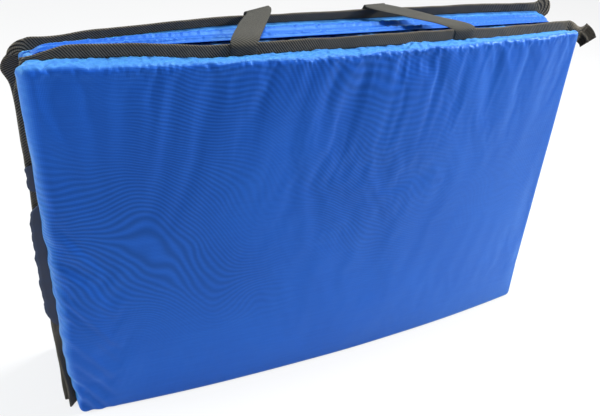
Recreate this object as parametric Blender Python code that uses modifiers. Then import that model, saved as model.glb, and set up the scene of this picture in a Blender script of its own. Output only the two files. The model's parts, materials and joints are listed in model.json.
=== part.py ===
"""Folding exercise mat of three boxed cushions, folded in a Z and stood on its long edge.

X runs along the mat, Z is up, and the front panel's face looks toward -Y. The front and middle
panels stand back to back, hinged along the floor. The middle and rear panels are face to face,
hinged along the top, and the rear panel is splayed out at its foot. Sizes are in metres.
"""

import math

import bmesh
import bpy
from mathutils import Matrix, Vector

# Panels
PANEL_LENGTH = 0.910
PANEL_HEIGHT = 0.595
REAR_EXTRA_HEIGHT = -0.010
PANEL_THICKNESS = 0.036
CORNER_RADIUS = 0.014
FACE_EDGE_RADIUS = 0.008
CROWN = 0.006
SIDE_DRAW = 0.003
FRONT_BOW = -0.025
MIDDLE_BOW = 0.0
REAR_BOW = 0.013

# Cloth, tape and webbing
COVER_THICKNESS = 0.0008
TAPE_THICKNESS = 0.0011
LEAF_THICKNESS = 0.0008
WEBBING_THICKNESS = 0.0014
WEBBING_WIDTH = 0.038
BINDING_STAND = 0.018
SEAM_ALLOWANCE = 0.014
LEAF_SEAT = 0.018

# Clearances
GAP = 0.0003
FOAM_GAP = 0.0005
TURNED_GAP = 0.0005
BACK_SPACE = 0.006
FACE_SPACE = 0.0008
AXIS_GAP = 0.0002
MIDDLE_LIFT = 0.0012

# Loose end of the front panel's top binding
TAIL_LENGTH = 0.073
TAIL_DROOP = 0.030
TAIL_FORWARD = 0.012
TAIL_OPENING = math.radians(150)

# Carrying handle
HANDLE_LEFT_X = -0.173
HANDLE_RIGHT_X = 0.205
HANDLE_LEFT_OVER_X = -0.112
HANDLE_RIGHT_OVER_X = 0.098
HANDLE_HANG = 0.055
HANDLE_LIFT = 0.007
HANDLE_FOLD_BACK = 0.012
HANDLE_FOLD_RISE = 0.011
CREST_FRONT = 0.006
CREST_BACK = 0.003
CREST_LIFT = 0.002
FALL_BACK = 0.008
FALL_DROP = 0.008
SHOULDER_IN = 0.010
SHOULDER_BACK = 0.020
SHOULDER_DROP = 0.012
SHOULDER_ACROSS = (1, 0.1, 0)
FLANK_IN = 0.030
FLANK_BACK = 0.032
FLANK_SHARE = 0.7
FLANK_ACROSS = (0.6, 0.7, 0.3)
LOWEST_BACK = 0.034
LOWEST_ACROSS = (0, 1, -0.1)
HANDLE_STEPS = 4

# Facets
LENGTH_STEPS = 22
HEIGHT_STEPS = 9
TAIL_STEPS = 6
CORNER_STEPS = 2
EDGE_STEPS = 2

# Heights and depths that follow from the sizes above
FRONT_BACK_Y = PANEL_THICKNESS
LOWER_AXIS = Vector((0, FRONT_BACK_Y + BACK_SPACE / 2, GAP))
MIDDLE_BACK_Y = FRONT_BACK_Y + BACK_SPACE
WALL_DROP = AXIS_GAP + LEAF_THICKNESS + GAP
MIDDLE_TOP_Z = MIDDLE_LIFT + PANEL_HEIGHT
UPPER_AXIS = Vector(
    (0, MIDDLE_BACK_Y + PANEL_THICKNESS + FACE_SPACE / 2, MIDDLE_TOP_Z + WALL_DROP)
)
REAR_HEIGHT = PANEL_HEIGHT + REAR_EXTRA_HEIGHT
REAR_BACK_Y = FACE_SPACE / 2 + PANEL_THICKNESS


def rear_lean():
    """The angle at which the rear panel's bottom binding just reaches the floor."""
    reach = WALL_DROP + REAR_HEIGHT + BINDING_STAND
    out = REAR_BACK_Y + GAP + TAPE_THICKNESS - end_bow(REAR_BOW)
    inner = REAR_BACK_Y - COVER_THICKNESS - GAP - TAPE_THICKNESS - end_bow(REAR_BOW)
    lean = 0
    for back in (out, inner):
        radius = math.hypot(reach, back)
        angle = math.acos(UPPER_AXIS.z / radius) - math.atan2(back, reach)
        lean = max(lean, angle)
    return lean


def end_bow(bow):
    """How far past its end a bowed panel's binding has curved the other way."""
    return -bow_at(PANEL_LENGTH / 2 + BINDING_STAND, bow)


def bow_at(x, bow):
    """The panel's shift in depth at x, which is all of the bow at mid-length."""
    return bow * (1 - (2 * x / PANEL_LENGTH) ** 2)


LEAN = rear_lean()
LEAF_SHARE = 1 - 2 * CORNER_RADIUS / PANEL_LENGTH
PANEL_SIZES = {
    "front": (PANEL_HEIGHT, FRONT_BOW),
    "middle": (PANEL_HEIGHT, MIDDLE_BOW),
    "rear": (REAR_HEIGHT, REAR_BOW),
}


def clear_scene():
    for item in list(bpy.data.objects):
        bpy.data.objects.remove(item, do_unlink=True)


def material(name, colour, roughness):
    shade = bpy.data.materials.new(name)
    shade.use_nodes = True
    principled = shade.node_tree.nodes["Principled BSDF"]
    principled.inputs["Base Color"].default_value = (*colour, 1)
    principled.inputs["Roughness"].default_value = roughness
    principled.inputs["Metallic"].default_value = 0
    shade.diffuse_color = (*colour, 1)
    return shade


def new_empty(name, location, parent):
    empty = bpy.data.objects.new(name, None)
    empty.empty_display_size = 0.05
    empty.location = location
    empty.parent = parent
    MAT.objects.link(empty)
    return empty


def new_object(name, shape, panel, look):
    """Turns a bmesh in its panel's frame into a named object on the panel's hinge."""
    mesh = bpy.data.meshes.new(name)
    shape.to_mesh(mesh)
    shape.free()
    mesh.shade_smooth()
    mesh.set_sharp_from_angle(angle=math.radians(40))
    item = bpy.data.objects.new(name, mesh)
    item.data.materials.append(LOOKS[look])
    item.parent = panel["hinge"]
    item.location = panel["offset"]
    item.rotation_euler.z = panel["turn"]
    MAT.objects.link(item)
    return item


def thicken(item, thickness, offset):
    """Gives an open surface a thickness: outward along its normals at +1, inward at -1."""
    solidify = item.modifiers.new("cloth", "SOLIDIFY")
    solidify.thickness = thickness
    solidify.offset = offset
    solidify.use_even_offset = True
    return item


def grid_sheet(name, panel, look, along, across, point_at, thickness, offset=1):
    """A strip or sheet of cloth: a grid whose corners point_at puts in place."""
    shape = bmesh.new()
    bmesh.ops.create_grid(shape, x_segments=along, y_segments=across, size=0.5)
    for corner in shape.verts:
        step = round((corner.co.x + 0.5) * along)
        row = round((corner.co.y + 0.5) * across)
        corner.co = point_at(step / along, row)
    return thicken(new_object(name, shape, panel, look), thickness, offset)


def swell(point, height, bow, stands):
    """Crowns the face, draws the sides in between the corners, and bows the whole cushion.

    The edge that a panel stands on is pressed straight by the floor.
    """
    along = 2 * point.x / PANEL_LENGTH
    up = 2 * point.z / height - 1
    toward_face = -point.y / PANEL_THICKNESS
    crown = CROWN * (1 - along**4) * (1 - up**4) * toward_face
    draw = SIDE_DRAW * toward_face
    lift = 0 if stands and up < 0 else draw * up * (1 - along**2)
    return Vector(
        (
            point.x - draw * along * (1 - up**2),
            point.y - crown + bow_at(point.x, bow),
            point.z - lift,
        )
    )


def cushion(panel, inset, back_inset, open_back):
    """A box with rounded corners and face edges, cut into facets and swelled."""
    height = panel["height"]
    length = PANEL_LENGTH - 2 * inset
    depth = PANEL_THICKNESS - inset - back_inset
    shape = bmesh.new()
    bmesh.ops.create_cube(shape, size=1)
    centre = Vector((0, -back_inset - depth / 2, height / 2))
    place = Matrix.Translation(centre) @ Matrix.Diagonal(
        (length, depth, height - 2 * inset, 1)
    )
    bmesh.ops.transform(shape, matrix=place, verts=shape.verts)
    deep = [e for e in shape.edges if abs(e.verts[0].co.y - e.verts[1].co.y) > depth / 2]
    round_edges(shape, deep, CORNER_RADIUS - inset, CORNER_STEPS)
    face_y = -back_inset - depth
    rim = [e for e in shape.edges if all(abs(v.co.y - face_y) < GAP / 3 for v in e.verts)]
    round_edges(shape, rim, FACE_EDGE_RADIUS - inset, EDGE_STEPS)
    if open_back:
        back = [f for f in shape.faces if all(abs(v.co.y + back_inset) < GAP / 3 for v in f.verts)]
        bmesh.ops.delete(shape, geom=back, context="FACES")
    for step in range(1, LENGTH_STEPS):
        cut(shape, Vector((PANEL_LENGTH * (step / LENGTH_STEPS - 0.5), 0, 0)), Vector((1, 0, 0)))
    for step in range(1, HEIGHT_STEPS):
        cut(shape, Vector((0, 0, height * step / HEIGHT_STEPS)), Vector((0, 0, 1)))
    bmesh.ops.triangulate(shape, faces=shape.faces)
    for corner in shape.verts:
        corner.co = swell(corner.co, height, panel["bow"], panel["name"] == "front")
    return shape


def round_edges(shape, edges, radius, steps):
    bmesh.ops.bevel(
        shape,
        geom=edges,
        offset=radius,
        offset_type="OFFSET",
        segments=steps,
        profile=0.5,
        affect="EDGES",
        clamp_overlap=True,
    )


def cut(shape, point, normal):
    everything = shape.verts[:] + shape.edges[:] + shape.faces[:]
    bmesh.ops.bisect_plane(
        shape, geom=everything, dist=GAP / 30, plane_co=point, plane_no=normal
    )


def face_cover(panel):
    """The cloth pan over the foam: the face and its four walls, open at the back seam."""
    shape = cushion(panel, 0, COVER_THICKNESS + GAP, True)
    item = new_object(panel["name"] + "_face_cover", shape, panel, "cover")
    return thicken(item, COVER_THICKNESS, -1)


def foam_core(panel):
    inset = COVER_THICKNESS + FOAM_GAP
    shape = cushion(panel, inset, inset, False)
    return new_object(panel["name"] + "_foam_core", shape, panel, "foam")


def back_cover(panel, margins):
    """The back sheet with a seam allowance at each edge that has an upstanding binding."""
    left = -PANEL_LENGTH / 2 - margins["left"]
    right = PANEL_LENGTH / 2 + margins["right"]
    low = -margins["bottom"]
    high = panel["height"] + margins["top"]

    def point_at(part, row):
        x = left + (right - left) * part
        return Vector((x, bow_at(x, panel["bow"]), low + (high - low) * row))

    return grid_sheet(
        panel["name"] + "_back_cover",
        panel,
        "cover",
        LENGTH_STEPS,
        1,
        point_at,
        COVER_THICKNESS,
    )


def top_allowance(panel):
    """The back cover's top seam allowance, which bends down as the mat is opened flat."""

    def point_at(part, row):
        x = (PANEL_LENGTH + 2 * SEAM_ALLOWANCE) * (part - 0.5)
        rise = (GAP, SEAM_ALLOWANCE)[row]
        return Vector((x, bow_at(x, panel["bow"]), panel["height"] + rise))

    return grid_sheet(
        panel["name"] + "_allowance_top",
        panel,
        "cover",
        LENGTH_STEPS,
        1,
        point_at,
        COVER_THICKNESS,
    )


def folded_tape():
    """The inner surface of a binding in section, as (depth, distance out from the edge)."""
    face_side = -COVER_THICKNESS - GAP
    root = GAP
    fold = BINDING_STAND - TAPE_THICKNESS
    return [(face_side, root), (face_side, fold), (GAP, fold), (GAP, root)]


def long_binding(panel, place, start, end, tail=0):
    """A binding from start to end in X along the top, or the bottom when start is greater.

    Its tail opens out flat.
    """
    edge = panel["height"] if start < end else 0
    out = 1 if start < end else -1
    section = folded_tape()
    straight = round(LENGTH_STEPS * abs(end - start) / PANEL_LENGTH)
    steps = straight + (TAIL_STEPS if tail else 0)

    def point_at(part, row):
        step = round(part * steps)
        if step > straight:
            loose = (step - straight) / TAIL_STEPS
            return loose_tape(panel, loose, end + tail * loose, row)
        depth, rise = section[row]
        x = start + (end - start) * step / straight
        return Vector((x, depth + bow_at(x, panel["bow"]), edge + out * rise))

    return grid_sheet(
        f"{panel['name']}_binding_{place}",
        panel,
        "binding",
        steps,
        len(section) - 1,
        point_at,
        TAPE_THICKNESS,
    )


def loose_tape(panel, part, x, row):
    """Where the tape runs on past the corner: its face-side leg swings forward and up."""
    section = folded_tape()
    leg = section[1][1] - section[0][1]
    ease = part * part * (3 - 2 * part)
    opening = TAIL_OPENING * ease
    fold_z = panel["height"] + section[1][1] - TAIL_DROOP * part * part
    shift = bow_at(PANEL_LENGTH / 2 + BINDING_STAND, panel["bow"]) - TAIL_FORWARD * part * part
    if row == 0:
        swing = Vector((0, -math.sin(opening), -math.cos(opening))) * leg
        return Vector((x, section[0][0] + shift, fold_z)) + swing
    if row == 3:
        return Vector((x, section[3][0] + shift, fold_z - leg))
    return Vector((x, section[row][0] + shift, fold_z))


def side_binding(panel, side, low, high):
    """A binding up the left or right edge."""
    out = 1 if side == "right" else -1
    section = folded_tape()

    def point_at(part, row):
        depth, rise = section[row]
        x = out * (PANEL_LENGTH / 2 + rise)
        z = high + (low - high) * part if side == "right" else low + (high - low) * part
        return Vector((x, depth + bow_at(x, panel["bow"]), z))

    return grid_sheet(
        f"{panel['name']}_binding_{side}",
        panel,
        "binding",
        2,
        len(section) - 1,
        point_at,
        TAPE_THICKNESS,
    )


def turned_binding(panel):
    """The middle panel's top binding, turned down flat between the two backs."""
    half = PANEL_LENGTH / 2
    near = GAP + TAPE_THICKNESS
    far = near + TURNED_GAP
    top = panel["height"] - GAP
    fold = panel["height"] - BINDING_STAND + TAPE_THICKNESS
    section = [(near, top), (near, fold), (far, fold), (far, top)]

    def point_at(part, row):
        return Vector((half - 2 * half * part, *section[row]))

    return grid_sheet(
        panel["name"] + "_binding_top",
        panel,
        "binding",
        LENGTH_STEPS,
        len(section) - 1,
        point_at,
        TAPE_THICKNESS,
    )


def lower_leaf(panel, axis_y, floor_z):
    """Tape sewn up the back cover and turned out to the straight hinge line at the floor."""

    def point_at(part, row):
        x = PANEL_LENGTH * (part - 0.5)
        back = bow_at(x, panel["bow"]) + GAP
        section = [
            (axis_y, floor_z),
            (back, floor_z),
            (back, floor_z + LEAF_SEAT),
        ]
        return Vector((x, *section[row]))

    return grid_sheet(
        f"lower_hinge_{panel['name']}_leaf",
        panel,
        "binding",
        LENGTH_STEPS,
        2,
        point_at,
        LEAF_THICKNESS,
        -1,
    )


def upper_leaf(panel):
    """Cloth along the top wall that runs out to the straight hinge line."""
    seat = LEAF_SEAT - PANEL_THICKNESS
    hinge_line = -PANEL_THICKNESS - FACE_SPACE / 2 + AXIS_GAP
    bottom = panel["height"] + GAP

    def point_at(part, row):
        x = PANEL_LENGTH * (part - 0.5) * LEAF_SHARE
        on_wall = bow_at(x, panel["bow"]) + seat
        return Vector((x, (hinge_line, on_wall)[row], bottom))

    return grid_sheet(
        f"upper_hinge_{panel['name']}_leaf",
        panel,
        "cover",
        LENGTH_STEPS,
        1,
        point_at,
        LEAF_THICKNESS,
    )


def fin_front(x, above):
    """A point on the front of the front panel's top binding, above its root."""
    y = FRONT_BACK_Y + bow_at(x, FRONT_BOW) - COVER_THICKNESS - GAP - TAPE_THICKNESS
    return Vector((x, y, PANEL_HEIGHT + above))


def behind_rear(x, out, above):
    """A point behind the rear panel's back seam and above its top edge, as the panel leans."""
    local = Vector((x, REAR_BACK_Y + bow_at(x, REAR_BOW) + out, above - WALL_DROP))
    return UPPER_AXIS + Matrix.Rotation(LEAN, 3, "X") @ local


def handle_side(x, inward):
    """One side of the loop from over the rear binding down its back. Inward is 1 or -1 in X."""
    over = BINDING_STAND + WEBBING_THICKNESS + 2 * GAP
    shoulder = x + inward * SHOULDER_IN
    flank = shoulder + inward * FLANK_IN
    mirror = Vector((inward, 1, 1))
    flat = Vector((inward, 0, 0))
    return [
        (behind_rear(x, -CREST_FRONT, over + CREST_LIFT), flat),
        (behind_rear(x, CREST_BACK, over + CREST_LIFT / 2), flat),
        (behind_rear(x, FALL_BACK, over - FALL_DROP), flat),
        (
            behind_rear(shoulder, SHOULDER_BACK, -SHOULDER_DROP),
            Vector(SHOULDER_ACROSS) * mirror,
        ),
        (
            behind_rear(flank, FLANK_BACK, -FLANK_SHARE * HANDLE_HANG),
            Vector(FLANK_ACROSS) * mirror,
        ),
    ]


def handle_leg(x, crest, inward):
    """The loop from its sewn end at x, up and back toward the crest over the rear binding."""
    flat = Vector((inward, 0, 0))
    end = fin_front(x, BINDING_STAND + GAP) - Vector((0, GAP, 0))
    lift = Vector((0, 0, HANDLE_LIFT))
    return [
        (end, flat),
        (end + lift, flat),
        (end + Vector((0, HANDLE_FOLD_BACK, HANDLE_FOLD_RISE)), flat),
        ((end + crest) / 2 + lift, flat),
    ]


def handle_route():
    """Centres of the free loop and the directions across it, from its left end to its right."""
    left = handle_side(HANDLE_LEFT_OVER_X, 1)
    right = handle_side(HANDLE_RIGHT_OVER_X, -1)
    middle_x = (HANDLE_LEFT_OVER_X + HANDLE_RIGHT_OVER_X) / 2
    lowest = (behind_rear(middle_x, LOWEST_BACK, -HANDLE_HANG), Vector(LOWEST_ACROSS))
    route = [
        *handle_leg(HANDLE_LEFT_X, left[0][0], 1),
        *left,
        lowest,
        *reversed(right),
        *reversed(handle_leg(HANDLE_RIGHT_X, right[0][0], -1)),
    ]
    for k, (centre, across) in enumerate(route):
        if across.y:
            way = route[k + 1][0] - route[k - 1][0]
            route[k] = (centre, (across - across.project(way)).normalized())
    return route


def smooth_between(points, spans, steps):
    """Points on a Catmull-Rom curve through the given ones, whose spans have the given sizes."""
    points = [2 * points[0] - points[1], *points, 2 * points[-1] - points[-2]]
    spans = [spans[0], *spans, spans[-1]]
    found = []
    for k in range(len(points) - 3):
        a, b, c, d = points[k : k + 4]
        before, span, after = spans[k : k + 3]
        leaving = c - b + span * ((b - a) / before - (c - a) / (before + span))
        arriving = c - b + span * ((d - c) / after - (d - b) / (span + after))
        for step in range(steps):
            t = step / steps
            cubic = (2 * (b - c) + leaving + arriving) * t**3
            square = (3 * (c - b) - 2 * leaving - arriving) * t**2
            found.append(cubic + square + leaving * t + b)
    return [*found, points[-2]]


def carry_handle(panel):
    """The free loop of webbing, from the front binding over the rear panel and back."""
    route = handle_route()
    origin = panel["hinge"].matrix_world.translation
    spans = [math.sqrt((b[0] - a[0]).length) for a, b in zip(route, route[1:])]
    centres = smooth_between([centre for centre, _ in route], spans, HANDLE_STEPS)
    across = smooth_between([side for _, side in route], spans, HANDLE_STEPS)
    last = len(centres) - 1

    def point_at(part, row):
        step = round(part * last)
        tangent = centres[min(step + 1, last)] - centres[max(step - 1, 0)]
        side = across[step].normalized()
        square = (side - side.project(tangent)).length
        return centres[step] + side * WEBBING_WIDTH / square * (row / 2 - 0.5)

    item = grid_sheet("carry_handle", panel, "webbing", last, 2, point_at, WEBBING_THICKNESS, 0)
    item.location = -origin
    length = sum((b - a).length for a, b in zip(centres, centres[1:]))
    print(f"The handle's free loop is {length:.3f} m long.")
    return item


def handle_end(panel, side, x):
    """The end of the loop, sewn to the front of the front panel's top binding."""
    origin = panel["offset"]

    def point_at(part, row):
        where = x + WEBBING_WIDTH * (part - 0.5)
        spot = fin_front(where, GAP + (BINDING_STAND - GAP) * row)
        return spot - Vector((0, GAP, 0)) - origin

    return grid_sheet(
        f"handle_end_{side}", panel, "webbing", 2, 1, point_at, WEBBING_THICKNESS, 1
    )


def centre_on_origin(root):
    """Moves the mat so that the middle of its bounding box's underside is at the origin."""
    bpy.context.view_layer.update()
    graph = bpy.context.evaluated_depsgraph_get()
    corners = []
    for item in MAT.objects:
        if item.type == "MESH":
            shown = item.evaluated_get(graph)
            corners += [shown.matrix_world @ vertex.co for vertex in shown.data.vertices]
    low = Vector(min(c[k] for c in corners) for k in range(3))
    high = Vector(max(c[k] for c in corners) for k in range(3))
    root.location = Vector((-(low.x + high.x) / 2, -(low.y + high.y) / 2, -low.z))
    bpy.context.view_layer.update()


def build_mat():
    root = new_empty("mat_frame", (0, 0, 0), None)
    lower = new_empty("lower_fold_axis", LOWER_AXIS, root)
    upper = new_empty("upper_fold_axis", UPPER_AXIS - LOWER_AXIS, lower)
    upper.rotation_euler.x = LEAN
    swing_y = (fin_front(HANDLE_LEFT_X, 0).y + fin_front(HANDLE_RIGHT_X, 0).y) / 2
    swing = new_empty(
        "handle_swing_axis", (0, swing_y, PANEL_HEIGHT + BINDING_STAND), root
    )
    bpy.context.view_layer.update()
    hinges = {
        "front": (root, Vector((0, FRONT_BACK_Y, 0)), 0),
        "middle": (
            lower,
            Vector((0, MIDDLE_BACK_Y, MIDDLE_LIFT)) - LOWER_AXIS,
            math.pi,
        ),
        "rear": (upper, Vector((0, REAR_BACK_Y, -WALL_DROP - REAR_HEIGHT)), 0),
    }
    panels = {}
    for name, (height, bow) in PANEL_SIZES.items():
        hinge, offset, turn = hinges[name]
        panels[name] = {
            "name": name,
            "height": height,
            "bow": bow,
            "hinge": hinge,
            "offset": offset,
            "turn": turn,
        }
    front, middle, rear = panels.values()
    for panel in panels.values():
        face_cover(panel)
        foam_core(panel)
    sides = {"left": SEAM_ALLOWANCE, "right": SEAM_ALLOWANCE}
    back_cover(front, {**sides, "top": SEAM_ALLOWANCE, "bottom": 0})
    back_cover(middle, {**sides, "top": 0, "bottom": 0})
    back_cover(rear, {**sides, "top": 0, "bottom": SEAM_ALLOWANCE})
    top_allowance(rear)

    corner = PANEL_LENGTH / 2 + BINDING_STAND
    long_binding(front, "top_left", -corner, HANDLE_LEFT_X - GAP / 2)
    long_binding(front, "top_middle", HANDLE_LEFT_X + GAP / 2, HANDLE_RIGHT_X - GAP / 2)
    long_binding(front, "top_right", HANDLE_RIGHT_X + GAP / 2, corner, TAIL_LENGTH)
    turned_binding(middle)
    long_binding(rear, "top", -corner, corner)
    long_binding(rear, "bottom", corner, -corner)
    for panel in panels.values():
        for side in ("left", "right"):
            side_binding(panel, side, 0, panel["height"])

    lower_leaf(front, BACK_SPACE / 2 - AXIS_GAP, LOWER_AXIS.z + AXIS_GAP)
    lower_leaf(middle, BACK_SPACE / 2 - AXIS_GAP, LOWER_AXIS.z + AXIS_GAP - MIDDLE_LIFT)
    upper_leaf(middle)
    upper_leaf(rear)

    handle_end(front, "left", HANDLE_LEFT_X)
    handle_end(front, "right", HANDLE_RIGHT_X)
    handle = {"name": "handle", "hinge": swing, "offset": Vector((0, 0, 0)), "turn": 0}
    carry_handle(handle)

    centre_on_origin(root)
    for empty in (root, lower, upper, swing):
        place = tuple(round(value, 6) for value in empty.matrix_world.translation)
        print(empty.name, place)
    print(f"The rear panel leans {math.degrees(LEAN):.3f} degrees.")


clear_scene()
MAT = bpy.data.collections.new("folding_exercise_mat")
bpy.context.scene.collection.children.link(MAT)
LOOKS = {
    "cover": material("satin_blue_nylon", (0.02, 0.12, 0.52), 0.45),
    "binding": material("olive_grey_binding", (0.05, 0.05, 0.042), 0.85),
    "webbing": material("olive_grey_webbing", (0.055, 0.055, 0.045), 0.85),
    "foam": material("pale_foam", (0.75, 0.74, 0.70), 0.9),
}
build_mat()
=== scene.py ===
import json
import math
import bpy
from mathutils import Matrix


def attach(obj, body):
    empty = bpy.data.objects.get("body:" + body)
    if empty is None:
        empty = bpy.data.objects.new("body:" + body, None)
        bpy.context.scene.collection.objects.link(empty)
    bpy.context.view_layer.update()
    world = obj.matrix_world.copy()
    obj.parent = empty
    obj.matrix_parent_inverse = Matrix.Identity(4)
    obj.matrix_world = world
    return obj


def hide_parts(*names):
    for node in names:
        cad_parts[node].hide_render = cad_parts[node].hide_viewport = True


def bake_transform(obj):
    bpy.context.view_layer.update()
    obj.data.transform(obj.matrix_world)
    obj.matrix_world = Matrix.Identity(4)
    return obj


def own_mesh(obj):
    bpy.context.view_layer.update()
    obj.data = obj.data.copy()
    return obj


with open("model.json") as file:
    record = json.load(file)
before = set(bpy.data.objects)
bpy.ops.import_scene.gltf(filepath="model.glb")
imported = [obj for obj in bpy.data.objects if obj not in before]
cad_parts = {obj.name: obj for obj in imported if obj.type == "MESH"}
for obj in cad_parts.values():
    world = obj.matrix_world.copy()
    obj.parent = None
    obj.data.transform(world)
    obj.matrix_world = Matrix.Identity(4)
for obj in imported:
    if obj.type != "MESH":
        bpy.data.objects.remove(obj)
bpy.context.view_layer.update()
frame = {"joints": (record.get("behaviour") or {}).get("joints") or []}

from types import SimpleNamespace

import bpy
import numpy as np
from mathutils import Matrix, Vector, noise

# The looks of a folding exercise mat: three satin nylon cushions, webbing bindings round their
# back seams, cloth hinges between them and a webbing loop to carry them by. Sizes are in metres.
# In a panel's own frame X runs along it, its back seam lies at Y = 0, its face looks toward -Y,
# and Z goes up from its bottom edge.

JOINTS = {joint["name"]: joint for joint in frame["joints"]}
LOWER_FOLD = Vector(JOINTS["lower_fold"]["pos_m"])
UPPER_FOLD = Vector(JOINTS["upper_fold"]["pos_m"])
LEAN = math.pi - math.radians(JOINTS["upper_fold"]["range_deg"][1])

# Panels
PANEL_LENGTH = 0.910
PANEL_HEIGHT = 0.595
REAR_EXTRA_HEIGHT = -0.010
PANEL_THICKNESS = 0.036
CORNER_RADIUS = 0.010
EDGE_RADIUS = 0.006
CROWN = 0.006
SIDE_DRAW = 0.003
FRONT_BOW = -0.025
REAR_BOW = 0.013
BACK_SPACE = 0.006
FACE_SPACE = 0.0008
MIDDLE_LIFT = 0.0012
WALL_DROP = 0.0013
BACK_INSET = 0.0012

# Form of the cushions. A power sets how closely a curve keeps to its edge.
CROWN_POWER = 4
SAG_POWER = 10
END_POWER = 24
WALL_POWER = 0.7
WALL_FOOT = 0.12
SEAM_HOLD = 0.004
BACK_CLOTH_START = (0, 2)

# Sags of the top seams, as their depth and where along X they start and are complete
FRONT_SAGS = ((0.0045, -0.34, -0.22), (0.0035, 0.15, 0.33))
REAR_SAGS = ((0.0105, -0.12, -0.44), (0.008, -0.36, -0.45), (-0.003, 0.1, 0.4))
FRONT_HOLLOW, FRONT_HOLLOW_X, FRONT_HOLLOW_SPAN = 0.0025, -0.2, 0.07

# Wrinkles: how deep they are, the size of their bumps, and how far they reach
CRUMPLE_DEPTH, CRUMPLE_SIZE, FRONT_FULL = 0.0036, (0.011, 0.016, 0.016), 0.4
CRIMP_DEPTH, CRIMP_SIZE = 0.0009, (0.0065, 0.012, 0.012)
PUCKER_DEPTH, PUCKER_SIZE, PUCKER_SLANT = 0.0034, (0.30, 0.30, 0.022), 1.5
PUCKERS_FROM_LEFT, PUCKERS_UP = (0.015, 0.085), (0.27, 0.40)
WAVE_DEPTH, WAVE_SIZE = 0.0012, 0.15
FOLD_DEPTH, FOLD_SIZE, FOLD_FAN, FOLD_REACH = 0.0009, (0.020, 1.0, 0.5), 0.20, 0.12
PLAIN_CRUMPLE_DEPTH, PLAIN_CRUMPLE_SIZE, PLAIN_FULL = 0.0052, (0.010, 0.015, 0.015), -0.15
GATHER_DEPTH, GATHER_SIZE, GATHER_REACH = 0.0018, (0.022, 1.0, 0.8), 0.09
PLAIN_WAVE_SIZE = 0.18
SEAM_PUCKER_DEPTH, SEAM_PUCKER_SIZE, SEAM_PUCKER_REACH = 0.0016, 0.024, 0.035
BACK_WAVE_DEPTH, BACK_WAVE_SIZE = 0.0014, 0.16
BACK_HELD = (0.001, 0.02)

# Crumpled cloth along the top walls
WALL_CRUMPLE = (0.003, 0.018)
RIM_REACH = 0.020
RIM_RAGGED, RIM_RAGGED_SIZE = 0.008, 0.014
RIM_FADE = (0.35, 1.0)
RIM_OFF_SEAM = (0.001, 0.006)
FINE_CRUMPLE, FINE_SIZE = 0.0022, (0.0065, 0.010, 0.010)
FINEST_CRUMPLE, FINEST_SIZE = 0.0007, (0.0040, 0.0055, 0.0055)

# Tape and webbing
BINDING_STAND = 0.018
TAPE_FOLD = 0.0036
TAPE_THICKNESS = 0.0005
SEAM_INSET = 0.0004
SEWN_GAP = 0.0006
BINDING_TURN = 0.006
BINDING_STEP = 0.005
TAIL_LENGTH = 0.092
TAIL_DROOP = math.radians(58)
TAIL_TURN = math.radians(10)
TAIL_STEPS = 24
TAIL_CURL = 1.6
TAIL_OPEN_BY = 0.6
WEBBING_WIDTH = 0.038
WEBBING_THICKNESS = 0.0014
THREAD = 0.00035

# Waves along the bindings, as their depth and length, and how the roots sink into the seam
FIN_WAVES = ((0.0022, 0.09), (0.0008, 0.02))
FIN_UNEVEN, FIN_UNEVEN_SIZE = 0.08, 0.045
ROOT_SUNK, CORNER_SUNK, CORNER_SUNK_SPAN = 0.0006, 0.006, 0.012
TAIL_WAVE, TAIL_WAVE_SIZE = 0.003, 0.45

# How the bindings lean toward the backs of their panels, in radians, and where that changes
REAR_TOP_LEAN, REAR_TOP_LEAN_SPAN = -0.2, 0.04
LEFT_FIN_X = -0.44
LEFT_LEAN, LEFT_LEAN_SPAN = 0.5, 0.06
LEFT_FOOT_LEAN, LEFT_FOOT_SPAN = 1.4, (0.04, 0.19)

# How tall the bindings stand, as shares of their usual stand, and where that changes
LOW_CORNER, LOW_CORNER_SPAN = 0.25, 0.055
CORNER_SPAN = 0.008
REAR_STAND, REAR_MIDDLE_RISE, REAR_EAR = 0.80, 0.12, 0.75
LOBE, LOBE_DROP, LOBE_SPAN = 0.55, 0.030, 0.02
LEFT_EAR_STARTS, LEFT_EAR_FULL = 0.40, 0.45
TOP_BAND = 0.007
REAR_TOP_CUT = 0.012

# Carrying handle
HANDLE_LEFT_X = -0.173
HANDLE_RIGHT_X = 0.205
HANDLE_LEFT_OVER_X = -0.112
HANDLE_RIGHT_OVER_X = 0.098
HANDLE_HANG = 0.055
CREST_SLANTS = {1: 0.20, -1: -0.04}
CREST_FRONT, CREST_BACK, CREST_LIFT = 0.006, 0.003, 0.002
FALL_BACK, FALL_DROP = 0.008, 0.008
SHOULDER_IN, SHOULDER_BACK, SHOULDER_DROP = 0.010, 0.020, 0.012
SHOULDER_ACROSS = (1, 0.1, 0)
FLANK_IN, FLANK_BACK, FLANK_SHARE = 0.030, 0.032, 0.7
FLANK_ACROSS = (0.6, 0.7, 0.3)
LOWEST_BACK, LOWEST_ACROSS = 0.034, (0, 1, -0.1)
LEG_LIFT = 0.002
HANDLE_STEPS = 8
BOX_LOW, BOX_HIGH, BOX_INSET = 0.003, 0.015, 0.003
BOX_STITCH = 0.0028

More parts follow.
